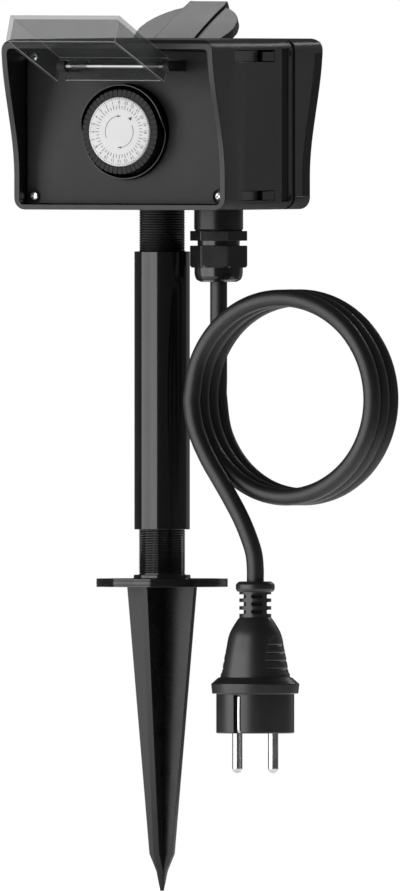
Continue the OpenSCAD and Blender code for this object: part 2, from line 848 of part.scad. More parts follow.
// Point of the coil after t turns
function coil_point(t) = [coil_x - coil_r * cos(360 * t), -coil_pitch * t, coil_z - coil_r * sin(360 * t)];

rings_per_turn = 24;
coil_points = concat([[gland_x, 0, coil_z + cord_d], [gland_x, 0, coil_z + cord_d / 2]],
    [for (k = [0:coil_turns * rings_per_turn]) coil_point(k / rings_per_turn)],
    [[gland_x, coil_end_y, coil_z - cord_d / 2], [gland_x, coil_end_y, coil_z - cord_d]]);
coil_gap = min([for (i = [0:len(coil_points) - 13], j = [i + 12:len(coil_points) - 1])
    norm(coil_points[i] - coil_points[j])]) - cord_d;
echo(coil_gap = coil_gap);

module cord_drop() {
    color("#303030") swept_tube([for (z = [gland_low, 120, coil_z + cord_d]) [gland_x, 0, z]], 8);
}

module cord_coil() {
    color("#303030") swept_tube(coil_points, 6);
}

module cord_lead() {
    color("#303030") swept_tube(lead_points, 8);
}

// Turned about the plug's axis
module plug_turned(points) {
    translate([plug_x, plug_y, 0]) rotate_extrude() polygon(points);
}

module plug_boot() {
    slots = [-4.1, -7.7, -11.3];
    slot_turn = -56;
    color(black) difference() {
        plug_turned([[0, boot_low], [7.5, boot_low], [7.5, -1.7], [9.15, -1.7], [9.15, 1.6],
            [8, boot_top], [0, boot_top]]);
        for (z = slots, k = [0:3]) translate([plug_x, plug_y, z]) rotate([0, 0, slot_turn + 90 * k])
            translate([7, 0, 0]) cube([4.2, k % 2 == 0 ? 5.6 : 12, 1.9], center = true);
    }
}

module plug_body() {
    color(black) difference() {
        union() {
            plug_turned([[0, face_z], [face_d / 2 - 0.6, face_z], [face_d / 2, face_z + 0.6],
                [face_d / 2, -49.7], [20.2, -49.7], [20.7, -45.1], [17.4, -42.2], [16.4, -42.2],
                [14.1, -30.6], [11.8, -20.9], [9, -16], [7.5, boot_low], [0, boot_low]]);
        }
        for (s = [-1, 1]) {
            for (k = [0:3]) translate([plug_x + s * 15.9, plug_y, -26.9 - 3.7 * k]) cube([6, 15, 1.4], center = true);
            translate([plug_x + s * pin_gap / 2, plug_y, face_z - 1]) cylinder(r = pin_root_r, h = pin_root + 1);
            translate([plug_x - 1.95, plug_y + (s > 0 ? face_d / 2 - 2.6 : -face_d / 2 - 1), face_z - 1])
                cube([3.9, 3.6, 19.1]);
        }
    }
}

module plug_pins() {
    color(steel) for (s = [-1, 1]) translate([plug_x + s * pin_gap / 2, plug_y, 0]) {
        translate([0, 0, face_z]) cylinder(r = pin_root_r, h = pin_root);
        translate([0, 0, pin_end + pin_d / 2]) cylinder(r = pin_d / 2, h = face_z - pin_end - pin_d / 2);
        translate([0, 0, pin_end + pin_d / 2]) sphere(r = pin_d / 2, $fn = 32);
    }
}

module plug_earth_clips() {
    color(brass_col) for (s = [-1, 1]) translate([plug_x - 1.8, plug_y + (s > 0 ? face_d / 2 - 2.6
        : -face_d / 2 + 1.1), face_z + 0.6]) cube([3.6, 1.5, 17.3]);
}

ground_spike();
extension_tube();
front_shell();
rear_shell();
parting_seal();
timer_panel();
socket_panel();
timer_panel_screws();
socket_panel_screws();
timer_housing();
gear_plate();
dial_ring();
dial_face();
dial_gear();
idler_gear();
motor_pinion();
timer_motor();
micro_switch();
switch_plunger();
timer_lid();
lid_hinge_rod();
socket_insert(-outlet_x);  // socket_insert_left
socket_insert(outlet_x);  // socket_insert_right
contact_sleeves();
earth_clips();
live_busbar();
neutral_busbar();
earth_bar();
flap_left();
flap_right();
flap_seal_left();
flap_seal_right();
flap_hinge_pins();
terminal_block();
terminal_screws();
live_wires();
neutral_wires();
earth_wires();
gland_body();
gland_oring();
gland_seal();
gland_clamp();
gland_nut();
gland_locknut();
cord_tail();
cord_drop();
cord_coil();
cord_lead();
plug_boot();
plug_body();
plug_pins();
plug_earth_clips();
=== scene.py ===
import math

import bmesh
import bpy
from mathutils import Matrix, Vector


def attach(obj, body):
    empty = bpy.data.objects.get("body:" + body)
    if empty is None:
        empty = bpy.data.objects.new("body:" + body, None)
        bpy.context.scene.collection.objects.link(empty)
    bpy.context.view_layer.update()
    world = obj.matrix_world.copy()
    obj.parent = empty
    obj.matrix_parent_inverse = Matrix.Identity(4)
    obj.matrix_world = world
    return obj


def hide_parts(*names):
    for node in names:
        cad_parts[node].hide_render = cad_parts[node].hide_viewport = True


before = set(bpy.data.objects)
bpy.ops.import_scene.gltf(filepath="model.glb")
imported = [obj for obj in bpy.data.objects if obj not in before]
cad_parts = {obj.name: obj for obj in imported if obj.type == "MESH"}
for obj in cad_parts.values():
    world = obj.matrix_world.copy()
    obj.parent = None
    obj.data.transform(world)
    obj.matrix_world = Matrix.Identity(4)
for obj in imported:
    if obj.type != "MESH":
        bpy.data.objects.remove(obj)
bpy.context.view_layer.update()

# Sizes are in millimetres as in the part's source, and MM turns them to metres
MM = 0.001

SPIKE_TOP, SPIKE_TIP = 0.2, -142.5
STUB_R, THREAD_PITCH, THREAD_DEEP = 10.9, 1.15, 0.5
HEAD_HALF, HEAD_LOW, HEAD_TOP, CORNER_R = 56, 176.9, 256.8, 5.5
TIMER_Z = 213.5
DIAL_Y = -42.8
HINGE_Z = 244.4
LID_X, LID_HINGE_Y, LID_OPEN = -1.2, 50, 111
OUTLET_X = 26.5
FLAP_Y, FLAP_OPEN, FLAP_REACH = 50, 117, 28
GLAND_X, HEX_TURN = 30, 18.8
CORD_D = 8.1
COIL_R, COIL_TURNS, COIL_PITCH, COIL_Z = 46.65, 3, 9, 89.1
PLUG_X, PLUG_Y = 63.8, -27
PIN_R, PIN_FROM_MIDDLE = 2.4, 9.5
LEAD = [[30.3, -27, 83.5], [31.4, -27.2, 77.5], [33.6, -27.6, 71.3], [36.6, -28.1, 65.3], [41, -28.7, 58],
        [46, -28.8, 50.5], [52.2, -28.6, 40.7], [57, -28, 32], [60.6, -27.4, 23.5],
        [63, -27, 16], [63.8, -27, 9], [63.8, -27, 2.9]]


def new_object(name, data):
    """An object of this mesh, curve, camera or light in the scene."""
    thing = bpy.data.objects.new(name, data)
    bpy.context.scene.collection.objects.link(thing)
    return thing


# Camera, at the photograph's angle

def aimed(name, data, turn, lift, far, middle):
    """A camera or light that looks at the middle from turn degrees round to the right and lift degrees up."""
    turn, lift = math.radians(turn), math.radians(lift)
    towards = Vector((math.sin(turn) * math.cos(lift), -math.cos(turn) * math.cos(lift), math.sin(lift)))
    device = new_object(name, data)
    device.location = Vector(middle) + far * towards
    device.rotation_euler = towards.to_track_quat("Z", "Y").to_euler()
    return device


def make_camera():
    """The photograph shows no vanishing, so the camera draws in parallel over the picture's height."""
    turn, lift, far, picture_height = 28, 0.4, 3, 0.418
    data = bpy.data.cameras.new("camera")
    data.type = "ORTHO"
    data.sensor_fit = "VERTICAL"
    data.ortho_scale = picture_height
    data.clip_end = 10
    bpy.context.scene.camera = aimed("camera", data, turn, lift, far, (0.01568, 0.00833, 0.0660))


make_camera()


# Materials

def linear(code):
    """Linear colour of an sRGB hex value."""
    parts = [int(code[k:k + 2], 16) / 255 for k in (1, 3, 5)]
    return [c / 12.92 if c <= 0.04045 else ((c + 0.055) / 1.055) ** 2.4 for c in parts] + [1]


def add(tree, kind, settings=None, inputs=None):
    """A node with its settings, and its inputs as values or as the sockets they come from."""
    node = tree.nodes.new(kind)
    for key, value in (settings or {}).items():
        setattr(node, key, value)
    for key, value in (inputs or {}).items():
        if isinstance(value, bpy.types.NodeSocket):
            tree.links.new(value, node.inputs[key])
        else:
            node.inputs[key].default_value = value
    return node


def blank(name):
    """A new material with only its output, and that output."""
    material = bpy.data.materials.new(name)
    material.use_nodes = True
    material.node_tree.nodes.clear()
    return material, material.node_tree, add(material.node_tree, "ShaderNodeOutputMaterial")


def surface(name, dark, light, rough, grain_mm, relief_mm=0.02, cloud_mm=14, stretch=(1, 1, 1), **shader):
    """A surface whose tone drifts over cloud_mm, with a grain of grain_mm and its relief."""
    material, tree, output = blank(name)
    place = add(tree, "ShaderNodeTexCoord")
    scaled = add(tree, "ShaderNodeMapping", {}, {"Vector": place.outputs["Object"], "Scale": stretch})
    cloud = add(tree, "ShaderNodeTexNoise", {}, {"Vector": place.outputs["Object"], "Scale": 1000 / cloud_mm,
                                                 "Detail": 3, "Roughness": 0.55})
    # A mould's or a die's grain is under 0.1 mm and drawn 0.3 to 0.7 mm wide, so that it still shows
    grain = add(tree, "ShaderNodeTexNoise", {}, {"Vector": scaled.outputs[0], "Scale": 1000 / grain_mm,
                                                 "Detail": 2, "Roughness": 0.5})
    mixed = add(tree, "ShaderNodeMath", {"operation": "MULTIPLY_ADD"},
                {0: grain.outputs["Fac"], 1: 0.35, 2: cloud.outputs["Fac"]})
    tone = add(tree, "ShaderNodeMapRange", {}, {"Value": mixed.outputs[0], "From Min": 0.45, "From Max": 0.9})
    colour = add(tree, "ShaderNodeMix", {"data_type": "RGBA"}, {"Factor": tone.outputs[0]})
    colour.inputs[6].default_value = linear(dark)
    colour.inputs[7].default_value = linear(light)
    gloss = add(tree, "ShaderNodeMapRange", {}, {"Value": mixed.outputs[0], "From Min": 0.4, "From Max": 0.95,
                                                 "To Min": rough[0], "To Max": rough[1]})
    relief = add(tree, "ShaderNodeBump", {}, {"Height": grain.outputs["Fac"], "Distance": relief_mm * MM,
                                              "Strength": 0.6})
    finish = add(tree, "ShaderNodeBsdfPrincipled", {}, {
        "Base Color": colour.outputs[2], "Roughness": gloss.outputs[0], "Normal": relief.outputs[0]})
    for key, value in shader.items():
        finish.inputs[key.replace("_", " ")].default_value = value
    tree.links.new(finish.outputs[0], output.inputs["Surface"])
    return material


# Polypropylene moulded in a spark-eroded tool: a soft sheen that breaks up in a fine grain
polypropylene = surface("moulded_polypropylene", "#1d1d1e", "#232324", (0.26, 0.35), 0.5, IOR=1.49,
                        Specular_IOR_Level=0.34)
# The spike's polypropylene with more black in it: near black where no light falls on it
spike_plastic = surface("black_polypropylene", "#0c0c0d", "#121213", (0.24, 0.32), 0.5, IOR=1.49,
                        Specular_IOR_Level=0.36)
# The same plastic on the walls of the timer's collar, darker and with no specular reflection at all: painted
# shade on a rough surface, so that it throws no highlight
collar_painted_shade = surface("polypropylene_painted_shade", "#0e0e0f", "#131314", (0.8, 0.9), 0.5, IOR=1.49,
                         Specular_IOR_Level=0)
# Polypropylene of the two panels: a lighter grey, matt, with a coarser grain
panel_plastic = surface("grained_polypropylene_panel", "#3c3c3c", "#424242", (0.52, 0.62), 0.6, 0.03,
                        IOR=1.49, Specular_IOR_Level=0.1)
# Extruded ABS tube: near mirror gloss, with faint lines drawn along it by the die
tube_plastic = surface("extruded_abs_tube", "#131314", "#171718", (0.08, 0.13), 0.7, 0.006, 30,
                       (1, 1, 0.02), IOR=1.53)
# Glass-filled nylon of the cable gland: a satin black
gland_nylon = surface("moulded_nylon", "#19191a", "#202021", (0.14, 0.2), 0.45, IOR=1.53)
# Soft PVC of the plug: a dry black with a broad, weak highlight
soft_pvc = surface("soft_pvc", "#18181a", "#1f1f20", (0.3, 0.4), 0.4, 0.012, 20, IOR=1.54)
# The cord's own jacket: darker and duller than the plug
cord_jacket = surface("pvc_cord_jacket", "#111112", "#171718", (0.42, 0.52), 0.5, 0.02, 25, IOR=1.54)
# EPDM of the seals: dull, with a little bloom
seal_rubber = surface("epdm_rubber", "#0b0b0c", "#121213", (0.7, 0.82), 0.3, 0.03, IOR=1.5,
                      Specular_IOR_Level=0.25)
# Zinc-plated steel: bright and a little cloudy
zinc_steel = surface("zinc_plated_steel", "#bcbfc3", "#dadde0", (0.16, 0.26), 0.3, 0.004, 3, Metallic=1)
# Blackened steel of the gear plate, which shows a little behind the dial: dark and dull
black_steel = surface("blackened_steel", "#0e0f10", "#151617", (0.5, 0.6), 0.5, 0.002, 4, Metallic=1)
# Drawn stainless steel of the lid's rod, a little dull
rod_steel = surface("drawn_stainless_rod", "#989899", "#a5a5a6", (0.32, 0.4), 0.5, 0.0005, 6, Metallic=1)
# Nickel-plated brass of the pins: smooth and bright
nickel = surface("nickel_plated_brass", "#c0c0bf", "#d8d8d7", (0.14, 0.2), 0.5, 0.0005, 6, Metallic=1)
# Rolled brass of the contacts: a warm yellow with fine lines along the strip
brass = surface("rolled_brass", "#b08d47", "#cfae66", (0.28, 0.4), 0.4, 0.01, 5, (1, 1, 0.1), Metallic=1)
# Pad-printed ABS of the dial: an even, slightly glossy white
dial_white = surface("white_abs_dial", "#dcdcdc", "#e3e3e2", (0.3, 0.38), 0.5, 0.005, IOR=1.53)
# ABS of the dial's ring of fingers: dark grey, satin
ring_grey = surface("grey_abs_fingers", "#131314", "#18181a", (0.46, 0.56), 0.4, IOR=1.53,
                    Specular_IOR_Level=0.2)
# Printing ink on the dial: a flat dark grey
dial_ink = surface("pad_printing_ink", "#3a3a3a", "#484848", (0.5, 0.6), 0.3, 0.004, IOR=1.5)
# Black acetal of the dial's gear, whose rim shows in the collar: dark, with next to no sheen
black_acetal = surface("black_acetal", "#0f0f10", "#151516", (0.5, 0.6), 0.5, IOR=1.48,
                       Specular_IOR_Level=0.2)
# Natural acetal of gears and block: waxy and slightly translucent
acetal = surface("natural_acetal", "#cfcbbf", "#dcd9ce", (0.34, 0.44), 0.5, IOR=1.48, Subsurface_Weight=0.1)
# Moulded red cover of the switch, and the insulation of the three kinds of wire: plain and satin
switch_red = surface("red_switch_cover", "#8c261c", "#a33326", (0.4, 0.5), 0.4, IOR=1.5)
brown_jacket = surface("brown_wire_insulation", "#4f2a16", "#5e3319", (0.4, 0.5), 0.4, IOR=1.54)
blue_jacket = surface("blue_wire_insulation", "#274f96", "#3160ae", (0.4, 0.5), 0.4, IOR=1.54)
green_jacket = surface("green_wire_insulation", "#5f8f26", "#77a838", (0.4, 0.5), 0.4, IOR=1.54)


def clear_plastic(name, code, through, cover, rough):
    """Clear plastic: how much light comes through and how much its own tone covers, face on and edge on."""
    material, tree, output = blank(name)
    place = add(tree, "ShaderNodeTexCoord")
    # Handling marks are about 0.05 mm wide and drawn 0.6 mm wide, so that they still show
    marks = add(tree, "ShaderNodeTexNoise", {}, {"Vector": place.outputs["Object"], "Scale": 1000 / 0.6,
                                                 "Detail": 2})
    gloss = add(tree, "ShaderNodeMapRange", {}, {"Value": marks.outputs["Fac"], "From Min": 0.3,
                                                 "From Max": 0.8, "To Min": rough, "To Max": rough * 1.5})
    facing = add(tree, "ShaderNodeLayerWeight", {}, {"Blend": 0.35})
    tint = add(tree, "ShaderNodeMapRange", {}, {"Value": facing.outputs["Facing"], "To Min": through[0],
                                                "To Max": through[1]})
    share = add(tree, "ShaderNodeMapRange", {}, {"Value": facing.outputs["Facing"], "To Min": cover[0],
                                                 "To Max": cover[1]})
    clear = add(tree, "ShaderNodeBsdfTransparent", {}, {"Color": tint.outputs[0]})
    sheen = add(tree, "ShaderNodeBsdfPrincipled", {}, {"Base Color": linear(code), "IOR": 1.58,
                                                       "Roughness": gloss.outputs[0]})
    both = add(tree, "ShaderNodeMixShader", {}, {"Fac": share.outputs[0], 1: clear.outputs[0],
                                                 2: sheen.outputs[0]})
    tree.links.new(both.outputs[0], output.inputs["Surface"])
    return material


# Injection-moulded clear polycarbonate: grey where it is seen through, with a faint sheen
polycarbonate = clear_plastic("clear_polycarbonate", "#c4c7c9", (0.8, 0.55), (0.03, 0.07), 0.14)
# Its cut and rounded edges get a whiter, more opaque tone: a painted highlight for the light they gather,
# showing as thin white lines
polycarbonate_edge_painted_highlight = clear_plastic("clear_polycarbonate_painted_edge_highlight", "#e4e6e8", (0.9, 0.6), (0.4, 0.8), 0.12)


# Light, floor and background

def softbox(name, turn, lift, far, wide, high, radiance, matt=True, shiny=True):
    """A soft light of wide by high metres, for matt or shiny reflection or both."""
    data = bpy.data.lights.new(name, "AREA")
    data.shape = "RECTANGLE"
    data.size, data.size_y = wide, high
    data.energy = radiance * math.pi * wide * high
    light = aimed(name, data, turn, lift, far, (0.02, 0, 0.1))
    light.visible_camera = False
    light.visible_diffuse = matt
    light.visible_glossy = shiny
    return light


def make_lights():
    """Soft lights for matt and for shiny reflection, and one for the flaps alone."""
    softbox("front_softbox", -9.5, 0, 1.6, 0.88, 1.7, 3.3, matt=False)
    softbox("left_softbox", -46, 0, 1.6, 1.22, 1.7, 2.8, matt=False)
    softbox("key_softbox", -50, 6, 1.6, 0.7, 1.1, 10.5, shiny=False)
    softbox("side_softbox", 163, 0, 1.6, 0.8, 1.7, 0.21, matt=False)
    softbox("side_fill", 105, 5, 1.6, 1.2, 1.7, 2.2, shiny=False)
    softbox("rear_softbox", 212, 8, 1.8, 1.6, 1.7, 6, shiny=False)
    softbox("top_softbox", 200, 75, 1.6, 1.3, 1.0, 2.5, shiny=False)
    softbox("edge_softbox", 171.6, 27, 1.6, 0.3, 0.16, 6, matt=False)
    flap_light = softbox("flap_softbox", 222, 52, 1.6, 1.3, 0.8, 2.4)
    flap_light.light_linking.receiver_collection = bpy.data.collections.new("lit_by_flap_softbox")


def make_background():
    """White behind the object, and dimmer as a surrounding, as between the photograph's softboxes."""
    bpy.context.scene.view_settings.view_transform = "Standard"
    world = bpy.data.worlds.new("studio")
    bpy.context.scene.world = world
    world.use_nodes = True
    tree = world.node_tree
    tree.nodes.clear()
    path = add(tree, "ShaderNodeLightPath")
    strength = add(tree, "ShaderNodeMapRange", {}, {"Value": path.outputs["Is Camera Ray"],
                                                    "To Min": 0.09, "To Max": 1.0})
    glow = add(tree, "ShaderNodeBackground", {}, {"Color": (1, 1, 1, 1), "Strength": strength.outputs[0]})
    add(tree, "ShaderNodeOutputWorld", {}, {"Surface": glow.outputs[0]})


def make_floor():
    """A round white floor half a millimetre below the spike's tip."""
    mesh = bpy.data.meshes.new("floor")
    work = bmesh.new()
    bmesh.ops.create_circle(work, cap_ends=True, segments=96, radius=450 * MM,
                            matrix=Matrix.Translation((0, 0, (SPIKE_TIP - 0.5) * MM)))
    work.to_mesh(mesh)
    work.free()
    mesh.materials.append(surface("white_studio_floor", "#f4f4f4", "#fafafa", (0.8, 0.9), 4, 0.01, 200,
                                  Emission_Color=(1, 1, 1, 1), Emission_Strength=0.35))
    new_object("floor", mesh)


# Ways to make a piece

def baked(piece):
    """The piece with its modifiers turned into plain mesh."""
    graph = bpy.context.evaluated_depsgraph_get()
    mesh = bpy.data.meshes.new_from_object(piece.evaluated_get(graph), depsgraph=graph)
    piece.modifiers.clear()
    piece.data = mesh
    return piece


def shaded(piece, angle=36):
    """Smooth shading with flats kept flat and edges sharper than angle kept hard."""
    for face in piece.data.polygons:
        face.use_smooth = True
    piece.data.set_sharp_from_angle(angle=math.radians(angle))
    normals = piece.modifiers.new("normals", "WEIGHTED_NORMAL")
    normals.keep_sharp = True
    return baked(piece)


def put(piece, body, nodes=(), material=None):
    """Gives the finished piece its material and body, and hides the CAD nodes it stands for."""
    if material:
        piece.data.materials.clear()
        piece.data.materials.append(material)
    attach(piece, body)
    if nodes:
        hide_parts(*nodes)


def merged_copy(node):
    """A copy of a CAD node's mesh with its loose triangles joined and its flats made whole."""
    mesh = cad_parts[node].data.copy()
    if "custom_normal" in mesh.attributes:
        mesh.attributes.remove(mesh.attributes["custom_normal"])
    work = bmesh.new()
    work.from_mesh(mesh)
    bmesh.ops.remove_doubles(work, verts=work.verts, dist=0.003 * MM)
    bmesh.ops.dissolve_limit(work, angle_limit=math.radians(0.4), verts=work.verts, edges=work.edges)
    work.to_mesh(mesh)
    work.free()
    mesh.materials.clear()
    return new_object(node + "_finished", mesh)


def sliced(work, xs, zs):
    """Cuts a mesh's faces along planes at these x and z in millimetres, so that its faces can be raised."""
    bmesh.ops.triangulate(work, faces=work.faces[:])
    for along, places in ((Vector((1, 0, 0)), xs), (Vector((0, 0, 1)), zs)):
        for place in places:
            bmesh.ops.bisect_plane(work, geom=work.verts[:] + work.edges[:] + work.faces[:],
                                   plane_co=along * place * MM, plane_no=along)


def softened(piece, width, share=None, segments=2):
    """The piece with its convex edges over 28 degrees rounded; share gives an edge's part of the width."""
    work = bmesh.new()
    work.from_mesh(piece.data)
    bmesh.ops.triangulate(work, faces=[f for f in work.faces if len(f.verts) > 4])
    layers = work.edges.layers.float
    weights = layers.get("bevel_weight_edge") or layers.new("bevel_weight_edge")
    for edge in work.edges:
        edge[weights] = 0
        if len(edge.link_faces) == 2 and edge.is_convex and edge.calc_face_angle() > math.radians(28):
            middle = (edge.verts[0].co + edge.verts[1].co) / 2 / MM
            edge[weights] = share(middle) if share else 1
    work.to_mesh(piece.data)
    work.free()
    bevel = piece.modifiers.new("edges", "BEVEL")
    bevel.limit_method = "WEIGHT"
    bevel.width = width * MM
    bevel.segments = segments
    bevel.use_clamp_overlap = False
    return shaded(baked(piece))


def rounded(points, radius=0.4, closed=False):
    """A profile whose corners are arcs; a corner may carry its own radius as a third number."""
    n, steps = len(points), 4
    out = []
    for k, point in enumerate(points):
        here = Vector(point[:2])
        r = point[2] if len(point) > 2 else radius
        if r == 0 or (not closed and k in (0, n - 1)):
            out.append(tuple(here))
            continue
        back, ahead = Vector(points[k - 1][:2]) - here, Vector(points[(k + 1) % n][:2]) - here
        angle = back.angle(ahead)
        if angle > math.radians(176):
            out.append(tuple(here))
            continue
        reach = min(r / math.tan(angle / 2), 0.48 * back.length, 0.48 * ahead.length)
        a, b = here + back.normalized() * reach, here + ahead.normalized() * reach
        for s in range(steps + 1):
            t = s / steps
            out.append(tuple((1 - t) ** 2 * a + 2 * t * (1 - t) * here + t * t * b))
    return out


def mesh_of(name, points, faces):
    """A mesh from points in millimetres, with its doubles merged and its faces turned outwards."""
    mesh = bpy.data.meshes.new(name)
    mesh.from_pydata([Vector(p) * MM for p in points], [], faces)
    work = bmesh.new()
    work.from_mesh(mesh)
    bmesh.ops.remove_doubles(work, verts=work.verts, dist=0.002 * MM)
    bmesh.ops.recalc_face_normals(work, faces=work.faces)
    work.to_mesh(mesh)
    work.free()
    return new_object(name, mesh)


def turned(name, profile, centre=(0, 0), sides=96, closed=False, shape=None):
    """A profile of radius and height turned about an upright axis; shape may move each of its points."""
    points, faces = [], []
    for r, z in profile:
        for k in range(sides):
            a = 2 * math.pi * k / sides
            rr, zz = shape(r, a, z) if shape else (r, z)
            points.append((centre[0] + rr * math.cos(a), centre[1] + rr * math.sin(a), zz))
    rows = len(profile)
    for j in range(rows if closed else rows - 1):
        for k in range(sides):
            a, b = j * sides, (j + 1) % rows * sides
            q = (k + 1) % sides
            faces.append((a + k, a + q, b + q, b + k))
    return mesh_of(name, points, faces)


def about_y(piece, x=0, z=0):
    """Turns a piece made about the Z axis so that its top faces -Y, and sets it on the axis at x and z."""
    piece.data.transform(Matrix.Translation((x * MM, 0, z * MM)) @ Matrix.Rotation(math.pi / 2, 4, "X"))
    return piece


def joined(name, pieces):
    """Several meshes as one object."""
    work = bmesh.new()
    for piece in pieces:
        work.from_mesh(piece.data)
        bpy.data.objects.remove(piece)
    mesh = bpy.data.meshes.new(name)
    work.to_mesh(mesh)
    work.free()
    return new_object(name, mesh)


def carved(piece, cutter):
    """Takes the cutter's space out of the piece."""
    cut = piece.modifiers.new("cut", "BOOLEAN")
    cut.operation = "DIFFERENCE"
    cut.solver = "EXACT"
    cut.object = cutter
    baked(piece)
    bpy.data.objects.remove(cutter)


def block(name, low, high):
    """A plain block between two corners, as raw stock for a cutter or a small piece."""
    x, y, z = zip(low, high)
    points = [(x[i], y[j], z[k]) for i in (0, 1) for j in (0, 1) for k in (0, 1)]
    sides = [(0, 1, 3, 2), (4, 6, 7, 5), (0, 4, 5, 1), (2, 3, 7, 6), (0, 2, 6, 4), (1, 5, 7, 3)]
    return mesh_of(name, points, sides)


def lofted(name, rings):
    """A closed solid through rings of points, with both ends capped."""
    n = len(rings[0])
    faces = [tuple(range(n)), tuple(range((len(rings) - 1) * n, len(rings) * n))]
    for a in range(0, (len(rings) - 1) * n, n):
        faces += [(a + k, a + (k + 1) % n, a + n + (k + 1) % n, a + n + k) for k in range(n)]
    return mesh_of(name, [p for ring in rings for p in ring], faces)


def threaded(name, low, high, sides=72, rows=12):
    """A stub with a screw thread of round crests, which runs out at both ends."""
    count = round((high - low) / THREAD_PITCH * rows)
    rings = []
    for j in range(count + 1):
        z = low + (high - low) * j / count
        fade = min(1, (z - low) / THREAD_PITCH, (high - z) / THREAD_PITCH)
        ring = []
        for k in range(sides):
            crest = (0.5 - 0.5 * math.cos(2 * math.pi * (z / THREAD_PITCH - k / sides))) ** 0.6
            r, a = STUB_R - THREAD_DEEP * (1 - fade * crest), 2 * math.pi * k / sides
            ring.append((r * math.cos(a), r * math.sin(a), z))
        rings.append(ring)
    return lofted(name, rings)


def copied(name, unit, sizes, places, material):
    """Copies of a unit where places sets them from the named sizes, by a Geometry Nodes tree."""
    tree = bpy.data.node_groups.new(name + "_tree", "GeometryNodeTree")
    tree.interface.new_socket("Geometry", in_out="INPUT", socket_type="NodeSocketGeometry")
    sockets = [tree.interface.new_socket(label, in_out="INPUT", socket_type="NodeSocket" + kind)
               for label, kind, value in sizes]
    tree.interface.new_socket("Geometry", in_out="OUTPUT", socket_type="NodeSocketGeometry")
    given = add(tree, "NodeGroupInput")
    copies = add(tree, "GeometryNodeInstanceOnPoints", {},
                 {"Instance": given.outputs[0], **places(tree, *given.outputs[1:len(sizes) + 1])})
    real = add(tree, "GeometryNodeRealizeInstances", {}, {"Geometry": copies.outputs[0]})
    painted = add(tree, "GeometryNodeSetMaterial", {}, {"Geometry": real.outputs[0], "Material": material})
    add(tree, "NodeGroupOutput", {}, {0: painted.outputs[0]})
    pattern = unit.modifiers.new("copies", "NODES")
    pattern.node_group = tree
    for socket, (label, kind, value) in zip(sockets, sizes):
        pattern[socket.identifier] = value
    unit.name = name
    return baked(unit)


def around(name, unit, count, material):
    """Copies of a unit in a circle about the timer's axis, which lies along Y."""
    def places(tree, number, middle):
        points = add(tree, "GeometryNodePoints", {}, {"Count": number, "Position": middle})
        index = add(tree, "GeometryNodeInputIndex")
        step = add(tree, "ShaderNodeMath", {"operation": "DIVIDE"}, {0: 2 * math.pi, 1: number})
        angle = add(tree, "ShaderNodeMath", {"operation": "MULTIPLY"},
                    {0: index.outputs[0], 1: step.outputs[0]})
        turn = add(tree, "ShaderNodeCombineXYZ", {}, {"Y": angle.outputs[0]})
        return {"Points": points.outputs[0], "Rotation": turn.outputs[0]}

    sizes = (("Number of copies", "Int", count),
             ("Middle of the circle", "Vector", [0, 0, TIMER_Z * MM]))
    return copied(name, unit, sizes, places, material)


def in_a_grid(name, unit, wide, high, middle_z, material):
    """Copies of a unit at the four corners of an upright rectangle."""
    def places(tree, width, height, middle):
        grid = add(tree, "GeometryNodeMeshGrid", {}, {"Size X": width, "Size Y": height,
                                                      "Vertices X": 2, "Vertices Y": 2})
        upright = add(tree, "GeometryNodeTransform", {}, {"Geometry": grid.outputs[0], "Translation": middle,
                                                          "Rotation": (math.pi / 2, 0, 0)})
        return {"Points": upright.outputs[0]}

    sizes = (("Width between copies", "Float", wide * MM),
             ("Height between copies", "Float", high * MM),
             ("Middle of the rectangle", "Vector", [0, 0, middle_z * MM]))
    return copied(name, unit, sizes, places, material)


# Cord

def length_along(spline, steps=16):
    """The length of a Bezier line, measured in short straight steps."""
    length = 0
    for a, b in zip(spline.bezier_points[:-1], spline.bezier_points[1:]):
        for s in range(steps):
            at = [(1 - t) ** 3 * a.co + 3 * t * (1 - t) ** 2 * a.handle_right
                  + 3 * t * t * (1 - t) * b.handle_left + t ** 3 * b.co for t in (s / steps, (s + 1) / steps)]
            length += (at[1] - at[0]).length
    return length


def make_cord():
    """The cord as a smooth curve, and its length from the gland to the plug."""
    coil_x, steps = GLAND_X + COIL_R, 16
    route = [[GLAND_X, 0, z] for z in (143, 131, 119, 108, 97.2)]
    for k in range(COIL_TURNS * steps + 1):
        t = k / steps
        route.append([coil_x - COIL_R * math.cos(2 * math.pi * t), -COIL_PITCH * t,
                      COIL_Z - COIL_R * math.sin(2 * math.pi * t)])
    route += LEAD
    points = [Vector(p) * MM for p in route]
    data = bpy.data.curves.new("cord", "CURVE")
    data.dimensions = "3D"
    data.resolution_u = 8
    data.bevel_depth = CORD_D / 2 * MM
    data.bevel_resolution = 7
    data.use_fill_caps = True
    spline = data.splines.new("BEZIER")
    spline.bezier_points.add(len(points) - 1)
    spline.resolution_u = 8
    n = len(points)
    for k, (knot, here) in enumerate(zip(spline.bezier_points, points)):
        back, ahead = points[max(k - 1, 0)], points[min(k + 1, n - 1)]
        along = (ahead - back).normalized()
        knot.co = here
        knot.handle_left_type = knot.handle_right_type = "FREE"
        knot.handle_left = here - along * (here - back).length / 3
        knot.handle_right = here + along * (ahead - here).length / 3
    cord = new_object("cord", data)
    data.materials.append(cord_jacket)
    put(cord, "head", ("cord_drop", "cord_coil", "cord_lead"))
    return cord, length_along(spline)


# Spike and tube

